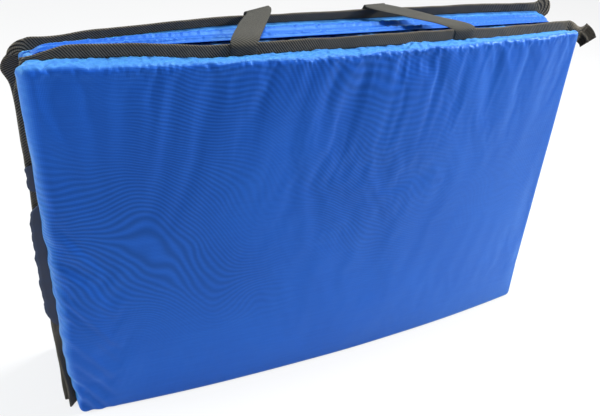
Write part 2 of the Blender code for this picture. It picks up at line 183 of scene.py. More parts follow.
# Cloth hinges, and the flaps at the left-hand seams, blue nylon in painted shade, as their low end,
# high end and width
HINGE_REACH = 0.018
RIDGE_AT, RIDGE_SPAN, RIDGE_RISE = 0.55, 0.20, 0.0046
HINGE_CLOTH_OFF, HINGE_TAPE_OFF = 0.0008, 0.0006
HINGE_PLEATS = ((0.0017, 0.0060), (0.0009, 0.0035))
HINGE_SWELL, HINGE_SWELL_SIZE = 0.0012, 0.06
RIDGE_END_SPAN = 0.025
HINGE_END_DROP, HINGE_END_SPAN = 0.004, 0.014
FLAPS = ((0.160, 0.396, 0.031), (0.405, 0.452, 0.025))
FLAP_ROOT = 0.006
FLAP_EDGES = ((0.0026, 0.016), (0.001, 0.005))
FLAP_DEPTH = -0.0046
FLAP_LEAN, FLAP_CURL, FLAP_CURL_SIZE = 0.22, 0.12, 0.05

FRONT_BACK_Y = LOWER_FOLD.y - BACK_SPACE / 2
REAR_HEIGHT = PANEL_HEIGHT + REAR_EXTRA_HEIGHT
# The panels: the bulge of their left and right walls, the fullness of their crumpled rims, and
# the grid of their covers in columns, rows and rings
FRONT = SimpleNamespace(
    name="front",
    body="front_panel",
    height=PANEL_HEIGHT,
    bow=FRONT_BOW,
    sags=FRONT_SAGS,
    bulge=(0.012, 0.003),
    fullness=0.35,
    grid=(210, 80, 10),
    place=Matrix.Translation((LOWER_FOLD.x, FRONT_BACK_Y, 0)),
)
MIDDLE = SimpleNamespace(
    name="middle",
    body="middle_panel",
    height=PANEL_HEIGHT,
    bow=0.0,
    sags=(),
    bulge=(0.004, 0.004),
    fullness=-0.25,
    grid=(220, 40, 9),
    place=Matrix.Translation((LOWER_FOLD.x, FRONT_BACK_Y + BACK_SPACE, MIDDLE_LIFT))
    @ Matrix.Rotation(math.pi, 4, "Z"),
)
REAR = SimpleNamespace(
    name="rear",
    body="rear_panel",
    height=REAR_HEIGHT,
    bow=REAR_BOW,
    sags=REAR_SAGS,
    bulge=(0.004, 0.004),
    fullness=-0.25,
    grid=(220, 40, 9),
    place=Matrix.Translation(UPPER_FOLD)
    @ Matrix.Rotation(LEAN, 4, "X")
    @ Matrix.Translation((0, FACE_SPACE / 2 + PANEL_THICKNESS, -WALL_DROP - REAR_HEIGHT)),
)

# Spare cloth in the front cover
SPARE_CLOTH = 0.075
BUCKLING_FRAMES = 24
FURTHEST_OUT = 0.0045
FURTHEST_IN = 0.0025
SLACK_ELSEWHERE, SLACK_X, SLACK_SPAN, SLACK_REACH = 0.20, 0.09, 0.15, 0.075
FOOT_SLACK, FOOT_SLACK_Z, FOOT_SLACK_SPANS = 0.6, 0.17, (0.05, 0.13)
NYLON_AS_CLOTH = {
    "quality": 5,
    "mass": 0.2,
    "air_damping": 2,
    "tension_stiffness": 30,
    "compression_stiffness": 30,
    "shear_stiffness": 10,
    "bending_stiffness": 0.02,
    "tension_damping": 10,
    "compression_damping": 10,
    "shrink_min": -SPARE_CLOTH,
    "shrink_max": 0,
}

# Colours
DEEP_BLUE = (0.008, 0.060, 0.41, 1)
BRIGHT_BLUE = (0.016, 0.120, 0.60, 1)
RIB_BLUE = (0.005, 0.040, 0.27, 1)
MOIRE_BLUE = (0.005, 0.042, 0.27, 1)
# Pale cyan blue of the painted highlight on the top and left walls
LIT_WALL_BLUE = (0.075, 0.26, 0.60, 1)
GLOSS_TINT = (0.25, 0.85, 1.0, 1)
SHEEN_TINT = (0.20, 0.85, 1.0, 1)
# The pale olive is partly the twill's own tone and partly a painted highlight of lit threads
TAPE_DARK, TAPE_LIT_OLIVE = (0.004, 0.004, 0.004, 1), (0.200, 0.172, 0.125, 1)
WEBBING_DARK, WEBBING_LIT_OLIVE = (0.008, 0.008, 0.007, 1), (0.088, 0.084, 0.066, 1)
# Dark navy of the flaps: the blue nylon in painted shade
SHADED_NYLON_DARK, SHADED_NYLON_PALE = (0.002, 0.008, 0.030, 1), (0.006, 0.022, 0.065, 1)
THREAD_DARK, THREAD_PALE = (0.010, 0.012, 0.014, 1), (0.050, 0.052, 0.055, 1)

# The camera in the photograph's frame, in radians and pixels, and its place from the foot of
# the front panel's face at mid-length
FRAME_WIDTH, FRAME_HEIGHT = 600, 416
CAMERA_YAW, CAMERA_PITCH, CAMERA_ROLL = 0.5013, 0.519, -0.0925
FOCAL_PIXELS = 656.59
MIDDLE_PIXEL = (330.95, 197.73)
CAMERA_FROM_FACE = (-0.48, -0.8391, 0.8839)
SENSOR_WIDTH = 36

# Studio
FLOOR_SIZE = 14
FLOOR_GREY = (0.85, 0.85, 0.85, 1)
FLOOR_WHITE_SHARE = 0.8
SKY_COLOUR = (0.86, 0.92, 1.0, 1)
SKY_STRENGTH = 0.40
LIGHTS = {
    "key": ((2.1, -0.60, 1.70), (0, -0.05, 0.45), 0.35, 74, (1.0, 0.99, 0.96)),
    "overhead": ((0.6, 0.15, 2.6), (0, 0, 0.5), 0.6, 58, (1.0, 1.0, 1.0)),
    "left_fill": ((-2.2, 0.2, 1.0), (-0.4, 0, 0.35), 0.8, 26, (0.85, 0.95, 1.0)),
}


def bow_at(x, bow):
    """The panel's shift in depth at x, which is all of the bow at mid-length."""
    return bow * (1 - (2 * x / PANEL_LENGTH) ** 2)


def settled(panel, x):
    """How far the panel's top seam has settled at x, at its back."""
    x = np.asarray(x, float)
    total = np.zeros_like(x)
    for depth, start, end in panel.sags:
        total = total + depth * fade(x, start, end)
    if panel is FRONT:
        away = (x - FRONT_HOLLOW_X) / FRONT_HOLLOW_SPAN
        total = total + FRONT_HOLLOW * np.exp(-(away**2))
    return total


def seam_drop(panel, x, z):
    """How far the seam has settled at x and z: as its top has up there, and not at all below."""
    return settled(panel, x) * (z / panel.height) ** SAG_POWER


def fade(value, start, end):
    """A smooth 0 to 1 as the value goes from start to end."""
    share = np.clip((np.asarray(value, float) - start) / (end - start), 0, 1)
    return share * share * (3 - 2 * share)


def bumps(places, size, seed):
    """Smooth noise between -1 and 1 at each place, with bumps about this size across."""
    shift = Vector((seed * 7.3, seed * 3.1, seed * 5.7))
    scale = 1 / np.broadcast_to(size, (3,))
    return np.array([noise.noise(Vector(place * scale) + shift) for place in places])


def bump_at(value, size, seed):
    """Smooth noise between -1 and 1 along a line."""
    return noise.noise(Vector((value / size, seed * 3.7, seed * 1.9)))


def waves_at(value, waves, seed):
    """The sum of waves of given depths and sizes along a line, the next seed for each."""
    return sum(
        depth * bump_at(value, size, seed + number) for number, (depth, size) in enumerate(waves)
    )


def mesh_piece(name, points, faces, place, finish, body=None, nodes=(), uv=None):
    """A smooth mesh piece that rides on a body and stands for CAD nodes."""
    mesh = bpy.data.meshes.new(name)
    mesh.from_pydata([tuple(point) for point in points], [], faces)
    mesh.transform(place)
    mesh.shade_smooth()
    if uv is not None:
        layer = mesh.uv_layers.new(name="cloth")
        corners = np.empty(len(mesh.loops), np.int32)
        mesh.loops.foreach_get("vertex_index", corners)
        layer.data.foreach_set("uv", np.asarray(uv, np.float32)[corners].ravel())
    piece = bpy.data.objects.new(name, mesh)
    bpy.context.scene.collection.objects.link(piece)
    piece.data.materials.append(finish)
    if body:
        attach(piece, body)
    if nodes:
        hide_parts(*nodes)
    return piece


def grid_faces(columns, rows):
    """Faces of a grid of points that are stored row by row."""
    found = []
    for row in range(rows - 1):
        for corner in range(row * columns, row * columns + columns - 1):
            found.append((corner, corner + 1, corner + columns + 1, corner + columns))
    return found


def tube_faces(around, rings):
    """Faces of a closed tube whose points are stored ring by ring, with its two ends."""
    found = []
    for ring in range(rings - 1):
        for k in range(around):
            a = ring * around + k
            b = ring * around + (k + 1) % around
            found.append((a, b, b + around, a + around))
    last = around * (rings - 1)
    found.append(tuple(range(around - 1, -1, -1)))
    found.append(tuple(range(last, last + around)))
    return found


class Sock:
    """A shader socket whose arithmetic adds Math nodes."""

    def __init__(self, look, link):
        self.look = look
        self.link = link

    def math(self, operation, first, second):
        return self.look.node("ShaderNodeMath", {"operation": operation}, {0: first, 1: second})

    def __add__(self, other):
        return self.math("ADD", self, other)

    def __radd__(self, other):
        return self.math("ADD", other, self)

    def __sub__(self, other):
        return self.math("SUBTRACT", self, other)

    def __rsub__(self, other):
        return self.math("SUBTRACT", other, self)

    def __mul__(self, other):
        return self.math("MULTIPLY", self, other)

    def __rmul__(self, other):
        return self.math("MULTIPLY", other, self)


class Look:
    """A Principled material under construction."""

    def __init__(self, name):
        self.material = bpy.data.materials.new(name)
        self.material.use_nodes = True
        self.tree = self.material.node_tree
        self.surface = self.tree.nodes["Principled BSDF"]

    def put(self, socket, value):
        if isinstance(value, Sock):
            self.tree.links.new(value.link, socket)
        else:
            socket.default_value = value

    def node(self, kind, settings, sockets, output=0):
        made = self.tree.nodes.new(kind)
        for key, value in settings.items():
            setattr(made, key, value)
        for key, value in sockets.items():
            self.put(made.inputs[key], value)
        return Sock(self, made.outputs[output])

    def shade(self, **values):
        for key, value in values.items():
            self.put(self.surface.inputs[key.replace("_", " ")], value)
        return self.material

    def mix(self, factor, first, second):
        sockets = {0: factor, 6: first, 7: second}
        return self.node("ShaderNodeMix", {"data_type": "RGBA"}, sockets, output=2)

    def bump(self, height, strength, distance):
        sockets = {"Height": height, "Strength": strength, "Distance": distance}
        return self.node("ShaderNodeBump", {}, sockets)

    def cloth_place(self):
        """The piece's own flat coordinates, in metres along and across the cloth."""
        return self.node("ShaderNodeUVMap", {"uv_map": "cloth"}, {})

    def noise(self, place, scale, detail=2.0, roughness=0.5):
        sockets = {"Vector": place, "Scale": scale, "Detail": detail, "Roughness": roughness}
        return self.node("ShaderNodeTexNoise", {}, sockets)

    def stretch(self, place, along, across):
        sockets = {0: place, 1: (along, across, 1.0)}
        return self.node("ShaderNodeVectorMath", {"operation": "MULTIPLY"}, sockets)

    def part(self, place, axis):
        return self.node("ShaderNodeSeparateXYZ", {}, {0: place}, output=axis)

    def between(self, value, low, high):
        """A smooth 0 to 1 as the value goes from low to high."""
        sockets = {"Value": value, "From Min": low, "From Max": high}
        return self.node("ShaderNodeMapRange", {"interpolation_type": "SMOOTHSTEP"}, sockets)

    def wave(self, value):
        """A smooth 0 to 1 wave for each whole step of a number."""
        sine = self.node("ShaderNodeMath", {"operation": "SINE"}, {0: value * (2 * math.pi)})
        return sine * 0.5 + 0.5


def satin_nylon():
    """Royal blue satin: crosswise ribs that bend into moire figures, and fine threads.

    The figures are strongest toward the left end and leave out the foot. The top and left walls get
    a painted highlight: a paler blue in crumpled patches, standing in for the light that falls on
    them.
    """
    look = Look("satin_nylon")
    place = look.cloth_place()
    along = look.part(place, 0)
    up = look.part(place, 1)
    drift = look.noise(place, 3.6, 1.0)
    grain = look.noise(place, 11.0, 1.0)
    figure = look.wave(up * 140.0 + along * 62.0 + drift * 46.0 + grain * 4.0)
    shown = look.between(look.noise(place, 2.3, 1.0), 0.34, 0.56)
    left = 1.0 - look.between(along, -0.08, 0.26)
    ripple = figure * shown * (left * 0.85 + 0.15) * look.between(up, 0.08, 0.30)
    starts, full = -0.004, 0.005
    top_wall = look.between(up, PANEL_HEIGHT + starts, PANEL_HEIGHT + full)
    top_wall *= 1.0 - look.between(up, 0.7, 0.8)
    half = PANEL_LENGTH / 2
    left_wall = look.between(0.0 - along, half + starts, half + full)
    fold = look.noise(place, 130.0, 2.0, 0.6)
    rib = look.wave(up * 420.0 + drift * 14.0)
    threads = look.wave(along * 520.0 + drift * 9.0)
    streak = look.noise(look.stretch(place, 14.0, 260.0), 1.0, 3.0, 0.6)
    blotch = look.noise(place, 6.0, 3.0)
    tone = look.mix(streak * 0.5 + blotch * 0.6 - 0.05, DEEP_BLUE, BRIGHT_BLUE)
    ribbed = look.mix(rib * 0.22 + threads * 0.12, tone, RIB_BLUE)
    figured = look.mix(ripple * 0.74, ribbed, MOIRE_BLUE)
    # Painted highlight: the top wall, and the left wall at half strength, turn paler in crumpled
    # patches where light falls on them
    walls = (top_wall + left_wall * 0.5) * (fold * 1.1 + 0.05)
    colour = look.mix(walls, figured, LIT_WALL_BLUE)
    height = ripple * 0.9 + rib * 0.35 + threads * 0.25 + streak * 0.5
    look.shade(
        Base_Color=colour,
        Roughness=look.noise(place, 60.0, 2.0) * 0.12 + 0.36,
        Normal=look.bump(height, 0.5, 0.0005),
    )
    return look.shade(
        Specular_IOR_Level=0.32,
        Specular_Tint=GLOSS_TINT,
        Sheen_Weight=0.40,
        Sheen_Roughness=0.35,
        Sheen_Tint=SHEEN_TINT,
    )


def twill_tape(name, dark, light):
    """Woven tape in a diagonal twill, nearly black, with pale olive on its threads and in random
    worn patches: partly the twill's own tone, partly a painted highlight of lit threads.
    """
    look = Look(name)
    place = look.cloth_place()
    along = look.part(place, 0)
    across = look.part(place, 1)
    slant = look.between(look.wave(along * 260.0 + across * 200.0), 0.20, 0.65)
    pick = look.wave(along * 530.0 - across * 420.0)
    wear_and_glint = look.noise(place, 70.0, 3.0, 0.6)
    thread = slant * 0.70 + pick * 0.30
    # Painted highlight, together with real wear: the thread crowns and random patches turn pale
    # olive on the black tape
    colour = look.mix(thread * 0.95 + wear_and_glint * 0.60 - 0.44, dark, light)
    height = slant * 0.8 + pick * 0.4
    look.shade(
        Base_Color=colour,
        Roughness=wear_and_glint * 0.2 + 0.62,
        Normal=look.bump(height, 0.9, 0.0008),
    )
    return look.shade(Sheen_Weight=0.06, Sheen_Roughness=0.5, Specular_IOR_Level=0.22)


def plain_look(name, dark, light, scale):
    """An even finish that varies a little from dark to light, at scale patches to the metre."""
    look = Look(name)
    place = look.node("ShaderNodeTexCoord", {}, {}, output=3)
    twist = look.noise(place, scale, 1.0)
    look.shade(Base_Color=look.mix(twist, dark, light), Roughness=twist * 0.2 + 0.45)
    return look.material


def edge_section(rings):
    """The cushion's section from its flat face to its back seam, and its whole length.

    Its rows are (out, deep, turn), and it starts one corner radius inside the outline. Turn is
    the sine of the surface's slope.
    """
    flat = CORNER_RADIUS - EDGE_RADIUS
    curve = EDGE_RADIUS * math.pi / 2
    total = flat + curve + PANEL_THICKNESS - EDGE_RADIUS
    found = []
    for ring in range(rings + 1):
        way = total * ring / rings
        angle = min(max(way - flat, 0) / EDGE_RADIUS, math.pi / 2)
        out = min(way, flat) + EDGE_RADIUS * math.sin(angle)
        deep = EDGE_RADIUS * (1 - math.cos(angle)) + max(way - flat - curve, 0)
        found.append((out, deep, math.sin(angle)))
    return np.array(found), total


def rounded_sheet(height, columns, rows, rings):
    """A sheet over a rounded rectangle: each point's place on the inner rectangle, its way out
    from there, its ring, and its steps past the inner rectangle."""
    half = PANEL_LENGTH / 2 - CORNER_RADIUS
    low, high = CORNER_RADIUS, height - CORNER_RADIUS
    found = []
    for j in range(-rings, rows + rings + 1):
        for i in range(-rings, columns + rings + 1):
            inner_i = min(max(i, 0), columns)
            inner_j = min(max(j, 0), rows)
            a, b = i - inner_i, j - inner_j
            ring = max(abs(a), abs(b))
            angle = 0.0
            if ring:
                share = math.pi / 4 * min(abs(a), abs(b)) / ring
                angle = share if abs(a) >= abs(b) else math.pi / 2 - share
            way_x = math.copysign(math.cos(angle), a) if a else 0.0
            way_z = math.copysign(math.sin(angle), b) if b else 0.0
            x = -half + 2 * half * inner_i / columns
            z = low + (high - low) * inner_j / rows
            found.append((x, z, way_x, way_z, ring, a, b))
    return np.array(found).T


def cushion_shell(panel, wrinkles):
    """The cover from its back seam over the walls and the crowned face.

    It gives the points, their place on the flat cloth, their rings, the plan that the back
    follows, and the way that each point faces.
    """
    height = panel.height
    columns, rows, rings = panel.grid
    x, z, way_x, way_z, ring, a, b = rounded_sheet(height, columns, rows, rings)
    section, total = edge_section(rings)
    out, deep, turn = section[ring.astype(int)].T
    flat = np.stack([x + a * total / rings, z + b * total / rings], axis=1)
    facing = np.stack([way_x * turn, -np.sqrt(1 - turn**2), way_z * turn], axis=1)
    points = np.stack([x + way_x * out, deep - PANEL_THICKNESS, z + way_z * out], axis=1)
    along = 2 * points[:, 0] / PANEL_LENGTH
    up = 2 * points[:, 2] / height - 1
    forward = -points[:, 1] / PANEL_THICKNESS
    crown = CROWN * (1 - along**CROWN_POWER) * (1 - up**CROWN_POWER) * forward
    draw = SIDE_DRAW * forward
    lift = draw * up * (1 - along**2)
    if panel is FRONT:
        lift = np.where(up < 0, 0, lift)
    swollen = np.sin(np.pi * np.clip(forward, 0, 1)) ** WALL_POWER
    swollen *= fade(points[:, 2], 0, WALL_FOOT)
    bulge = np.where(along < 0, *panel.bulge) * swollen
    ease = np.abs(along) ** END_POWER * np.sign(along)
    lift += seam_drop(panel, points[:, 0], points[:, 2]) * (1 - forward)
    free = np.minimum(1, (PANEL_THICKNESS - deep) / SEAM_HOLD)
    rough = wrinkles(points) * free
    points += np.stack([bulge * ease - draw * along * (1 - up**2), -crown, -lift], axis=1)
    points += facing * rough[:, None]
    points[:, 1] += bow_at(points[:, 0], panel.bow)
    if panel is FRONT:
        points[:, 2] = np.maximum(points[:, 2], 0)
    return points, flat, ring, (x, z, way_x, way_z), facing


def cushion(panel, wrinkles, slack=None):
    """A boxed cushion, closed: its crowned face, its walls, and its back inside the seam."""
    points, flat, ring, plan, facing = cushion_shell(panel, wrinkles)
    columns, rows, rings = panel.grid
    wide, tall = columns + 2 * rings + 1, rows + 2 * rings + 1
    front_faces = grid_faces(wide, tall)
    if slack is not None:
        points = buckled(points, front_faces, ring == rings, slack(points), facing)
    x, z, way_x, way_z = plan
    out = CORNER_RADIUS * ring / rings
    back = np.stack([x + way_x * out, np.full(len(x), -BACK_INSET), z + way_z * out], axis=1)
    back[:, 2] -= seam_drop(panel, back[:, 0], back[:, 2])
    back[:, 1] += bow_at(back[:, 0], panel.bow) + back_wrinkles(panel, back)
    inside = ring < rings
    numbers = np.where(inside, len(points) + np.cumsum(inside) - 1, np.arange(len(points)))
    back_faces = [tuple(int(numbers[k]) for k in face[::-1]) for face in front_faces]
    cover = mesh_piece(
        panel.name + "_cushion",
        np.concatenate([points, back[inside]]),
        front_faces + back_faces,
        panel.place,
        NYLON,
        panel.body,
        [panel.name + part for part in ("_face_cover", "_foam_core", "_back_cover")],
        np.concatenate([flat, flat[inside] + BACK_CLOTH_START]),
    )
    crumple_rim(cover, panel)


def of_each_vertex(mesh, name):
    """A place or a direction of each of the mesh's vertices, as rows of three."""
    values = np.empty(len(mesh.vertices) * 3, np.float32)
    mesh.vertices.foreach_get(name, values)
    return values.reshape(-1, 3)


def crumple_rim(cover, panel):
    """Rounds the cover off, and crumples the cloth that is gathered along its top."""
    rounding = cover.modifiers.new("rounding", "SUBSURF")
    rounding.levels = 1
    rounded = cover.evaluated_get(bpy.context.evaluated_depsgraph_get())
    mesh = bpy.data.meshes.new_from_object(rounded)
    cover.modifiers.clear()
    cover.data = mesh
    points = of_each_vertex(mesh, "co").astype(float)
    normals = of_each_vertex(mesh, "normal")
    away = np.array(panel.place.inverted())
    spots = points @ away[:3, :3].T + away[:3, 3]
    ragged = np.array([bump_at(x, RIM_RAGGED_SIZE, seed=50.0) for x in spots[:, 0]])
    reach = RIM_REACH + RIM_RAGGED * ragged
    share = 1 - fade((panel.height - spots[:, 2]) / reach, *RIM_FADE)
    share *= fade(-spots[:, 1], *RIM_OFF_SEAM)
    near = share > 0
    fine = panel.fullness - np.abs(bumps(spots[near], FINE_SIZE, seed=51.0))
    finest = bumps(spots[near], FINEST_SIZE, seed=52.0)
    moved = (FINE_CRUMPLE * fine + FINEST_CRUMPLE * finest) * share[near]
    points[near] += normals[near] * moved[:, None]
    mesh.vertices.foreach_set("co", points.astype(np.float32).ravel())
    mesh.update()


def buckled(points, faces, held, slack, facing):
    """Lets a cover with spare cloth buckle between its held seams, and caps how far it goes."""
    mesh = bpy.data.meshes.new("loose_cover")
    mesh.from_pydata(points.tolist(), [], faces)
    cover = bpy.data.objects.new("loose_cover", mesh)
    bpy.context.scene.collection.objects.link(cover)
    seam = cover.vertex_groups.new(name="seam")
    seam.add(np.nonzero(held)[0].tolist(), 1.0, "REPLACE")
    tight = cover.vertex_groups.new(name="tight")
    for number, share in enumerate(1 - slack):
        tight.add([number], float(share), "REPLACE")
    cloth = cover.modifiers.new("cloth", "CLOTH")
    cloth.settings.vertex_group_mass = "seam"
    cloth.settings.vertex_group_shrink = "tight"
    for name, value in NYLON_AS_CLOTH.items():
        setattr(cloth.settings, name, value)
    cloth.settings.effector_weights.gravity = 0
    cloth.collision_settings.use_collision = False
    scene = bpy.context.scene
    for step in range(1, BUCKLING_FRAMES + 1):
        scene.frame_set(step)
    shown = cover.evaluated_get(bpy.context.evaluated_depsgraph_get())
    move = of_each_vertex(shown.data, "co") - points
    scene.frame_set(1)
    bpy.data.objects.remove(cover, do_unlink=True)
    out = (move * facing).sum(axis=1)
    limit = np.where(out > 0, FURTHEST_OUT, FURTHEST_IN)
    return points + move + facing * (limit * np.tanh(out / limit) - out)[:, None]


def back_wrinkles(panel, back):
    """Puckers along the seams of a panel's back, and soft waves over the rest of it."""
    half = PANEL_LENGTH / 2
    from_end = half - np.abs(back[:, 0])
    from_rim = np.minimum(back[:, 2], panel.height - back[:, 2])
    edge = np.minimum(from_end, from_rim)
    puckers = SEAM_PUCKER_DEPTH * bumps(back, SEAM_PUCKER_SIZE, seed=4.0)
    puckers *= np.exp(-edge / SEAM_PUCKER_REACH)
    waves = BACK_WAVE_DEPTH * bumps(back, BACK_WAVE_SIZE, seed=15.0)
    return (puckers + waves) * fade(edge, *BACK_HELD)


def front_slack(points):
    """Where the front cover has spare cloth: below its top seam, most right of centre.

    Some is at the left end too, near the foot.
    """
    x, z = points[:, 0], points[:, 2]
    most = np.exp(-(((x - SLACK_X) / SLACK_SPAN) ** 2))
    hanging = SLACK_ELSEWHERE + (1 - SLACK_ELSEWHERE) * most
    hanging *= np.exp(-(PANEL_HEIGHT - z) / SLACK_REACH)
    across, up = FOOT_SLACK_SPANS
    from_left = ((x + PANEL_LENGTH / 2) / across) ** 2
    foot = FOOT_SLACK * np.exp(-from_left - ((z - FOOT_SLACK_Z) / up) ** 2)
    return np.clip(hanging + foot, 0, 1)


def front_wrinkles(points):
    """Crumpled top wall, soft waves over the face and small puckers up the left edge."""
    below = np.clip(PANEL_HEIGHT - points[:, 2], 0, None)
    rim = 1 - fade(below, *WALL_CRUMPLE)
    crumple = FRONT_FULL - np.abs(bumps(points, CRUMPLE_SIZE, seed=6.0))
    crimp = bumps(points, CRIMP_SIZE, seed=7.0)
    top_wall = (CRUMPLE_DEPTH * crumple + CRIMP_DEPTH * crimp) * rim
    left = 1 - fade(points[:, 0] + PANEL_LENGTH / 2, *PUCKERS_FROM_LEFT)
    low = 1 - fade(points[:, 2], *PUCKERS_UP)
    slanted = points + points[:, :1] * (0, 0, PUCKER_SLANT)
    pucker = PUCKER_DEPTH * left * low * bumps(slanted, PUCKER_SIZE, seed=8.0)
    soft = WAVE_DEPTH * bumps(points, WAVE_SIZE, seed=5.0)
    fanned = points + below[:, None] * (FOLD_FAN, 0, 0)
    folds = FOLD_DEPTH * bumps(fanned, FOLD_SIZE, seed=9.0) * np.exp(-below / FOLD_REACH)
    return top_wall + pucker + soft + folds


def plain_wrinkles(points):
    """Gathers along the top and a crumpled rim, for the panels behind."""
    below = np.clip(PANEL_HEIGHT - points[:, 2], 0, None)
    rim = 1 - fade(below, *WALL_CRUMPLE)
    crumple = PLAIN_FULL - np.abs(bumps(points, PLAIN_CRUMPLE_SIZE, seed=10.0))
    gathers = bumps(points, GATHER_SIZE, seed=8.0) * GATHER_DEPTH
    gathers *= np.exp(-below / GATHER_REACH)
    waves = WAVE_DEPTH * bumps(points, PLAIN_WAVE_SIZE, seed=11.0)
    return PLAIN_CRUMPLE_DEPTH * crumple * rim + gathers + waves


def fin_section(steps):
    """A folded tape in section: (depth, rise, way round) from its front root to its back root."""
    half = TAPE_FOLD / 2
    tall = BINDING_STAND - half
    found = [(-half, tall * k / steps) for k in range(steps + 1)]
    for k in range(1, 4):
        angle = math.pi * k / 4
        found.append((-half * math.cos(angle), tall + half * math.sin(angle)))
    found += [(half, tall * (1 - k / steps)) for k in range(steps + 1)]
    round_way = [0.0]
    for a, b in zip(found, found[1:]):
        round_way.append(round_way[-1] + math.dist(a, b))
    return [(*spot, way) for spot, way in zip(found, round_way)]


def edge_route(panel, first, last):
    """A binding's root round the outline, clockwise: sides 0 left, 1 top, 2 right, 3 bottom."""
    half, height = PANEL_LENGTH / 2, panel.height
    sides = [
        ((-half, 0), (-half, height), (-1, 0)),
        ((-half, height), (half, height), (0, 1)),
        ((half, height), (half, 0), (1, 0)),
        ((half, 0), (-half, 0), (0, -1)),
    ]
    chosen = sides[first:last]
    found = []
    for number, (start, end, way) in enumerate(chosen):
        start, end, way = Vector(start), Vector(end), Vector(way)
        heading = (end - start).normalized()
        turns = number < len(chosen) - 1
        begin = start + heading * (BINDING_TURN if number else 0)
        finish = end - heading * (BINDING_TURN if turns else 0)
        steps = round((finish - begin).length / BINDING_STEP)
        found += [(*begin.lerp(finish, k / steps), *way) for k in range(steps + 1)]
        if turns:
            after = Vector(chosen[number + 1][2])
            centre = finish - way * BINDING_TURN
            for k in range(1, 8):
                angle = math.pi / 2 * k / 8
                turn = way * math.cos(angle) + after * math.sin(angle)
                found.append((*(centre + turn * BINDING_TURN), *turn))
    return found


def fin_height(panel, x, z):
    """How tall a binding stands, as a share of its usual stand."""
    from_corner = math.dist((abs(x), z), (PANEL_LENGTH / 2, panel.height))
    corner = math.exp(-((from_corner / CORNER_SPAN) ** 2))
    if panel is MIDDLE or panel is FRONT and x < 0:
        return LOW_CORNER + (1 - LOW_CORNER) * float(fade(from_corner, 0.0, LOW_CORNER_SPAN))
    if panel is REAR and x < 0:
        side = float(fade(-x, LEFT_EAR_STARTS, LEFT_EAR_FULL))
        lobe = LOBE * math.exp(-(((z - REAR_HEIGHT + LOBE_DROP) / LOBE_SPAN) ** 2))
        return REAR_STAND + side * (0.2 + lobe - 0.25 * corner)
    if panel is REAR and z > REAR_HEIGHT - TOP_BAND:
        return REAR_STAND + REAR_MIDDLE_RISE * float(fade(x, -0.05, 0.2)) + REAR_EAR * corner
    return 1.0


def fin_tilt(panel, x, z):
    """How far a binding leans toward the back of its panel, in radians."""
    if panel is REAR and z > REAR_HEIGHT - TOP_BAND:
        from_end = PANEL_LENGTH / 2 - abs(x)
        return REAR_TOP_LEAN * float(fade(from_end, 0.0, REAR_TOP_LEAN_SPAN))
    if panel is FRONT and x < LEFT_FIN_X:
        lean = LEFT_LEAN * float(fade(PANEL_HEIGHT - z, 0.0, LEFT_LEAN_SPAN))
        return lean - LEFT_FOOT_LEAN * float(1 - fade(z, *LEFT_FOOT_SPAN))
    return 0.0


def binding(panel, name, nodes, route, seed, tail=False):
    """A folded tape that stands out along a route round the panel's back seam, and its seam."""
    section = fin_section(6)
    points, uv, travelled = [], [], 0.0
    for k, (x, z, way_x, way_z) in enumerate(route):
        if k:
            travelled += math.dist((x, z), route[k - 1][:2])
        wave = waves_at(travelled, FIN_WAVES, seed)
        uneven = FIN_UNEVEN * bump_at(travelled, FIN_UNEVEN_SIZE, seed + 2)
        tall = fin_height(panel, x, z) * (1 + uneven)
        tilt = fin_tilt(panel, x, z)
        middle = panel.height / 2
        from_corner = math.dist((abs(x), abs(z - middle)), (PANEL_LENGTH / 2, middle))
        sunk = ROOT_SUNK + CORNER_SUNK * math.exp(-((from_corner / CORNER_SUNK_SPAN) ** 2))
        drop = float(seam_drop(panel, x, z))
        for deep, rise, round_way in section:
            out = rise * tall - sunk * (1 - rise / BINDING_STAND)
            reach = out * math.cos(tilt) - deep * math.sin(tilt)
            y = deep * math.cos(tilt) + out * math.sin(tilt) - SEAM_INSET
            px = x + way_x * reach
            y += wave * rise / BINDING_STAND + bow_at(px, panel.bow)
            points.append((px, y, z + way_z * reach - drop))
            uv.append((travelled, round_way))
    sew_along(panel, points, section)
    if tail:
        add_tail(points, uv, section, travelled)
    faces = tube_faces(len(section), len(points) // len(section))
    place = panel.place
    return mesh_piece(name, points, faces, place, BINDING, panel.body, nodes, uv)


def sew_along(panel, points, section):
    """Adds the ends of one stitch for each step of a binding, on both of its sides."""
    around = len(section)
    for line in (1, around - 2):
        off = Vector((0, THREAD if section[line][0] > 0 else -THREAD, 0))
        for a, b in zip(points[line::around], points[line + around :: around]):
            a, b = Vector(a), Vector(b)
            ends = [panel.place @ (a.lerp(b, share) + off) for share in (0.12, 0.80)]
            SEAMS[panel.body].append(ends)


def add_tail(points, uv, section, travelled):
    """Runs the front top binding on past its corner, where it droops and its fold opens out."""
    half = PANEL_LENGTH / 2
    top = PANEL_HEIGHT + BINDING_STAND - float(settled(FRONT, half))
    edge = Vector((half, bow_at(half, FRONT_BOW) - SEAM_INSET, top))
    for step in range(1, TAIL_STEPS + 1):
        loose = step / TAIL_STEPS
        droop, turn = TAIL_DROOP * loose**TAIL_CURL, TAIL_TURN * loose
        ahead = Vector((math.cos(turn), -math.sin(turn), 0))
        behind = Vector((math.sin(turn), math.cos(turn), 0))
        way = ahead * math.cos(droop) - Vector((0, 0, math.sin(droop)))
        edge += way * TAIL_LENGTH / TAIL_STEPS
        down = -ahead * math.sin(droop) - Vector((0, 0, math.cos(droop)))
        opened = float(fade(loose, 0, TAIL_OPEN_BY))
        swing = math.pi * opened
        wave = TAIL_WAVE * opened * bump_at(loose, TAIL_WAVE_SIZE, seed=31.0)
        for deep, rise, round_way in section:
            leg = BINDING_STAND - rise
            fall, back = leg, deep
            if deep < 0:
                fall = leg * math.cos(swing)
                back = deep * math.cos(swing) - leg * math.sin(swing)
            fall += BINDING_STAND * opened
            points.append(tuple(edge + down * fall + behind * (back + wave)))
            uv.append((travelled + TAIL_LENGTH * loose, round_way))


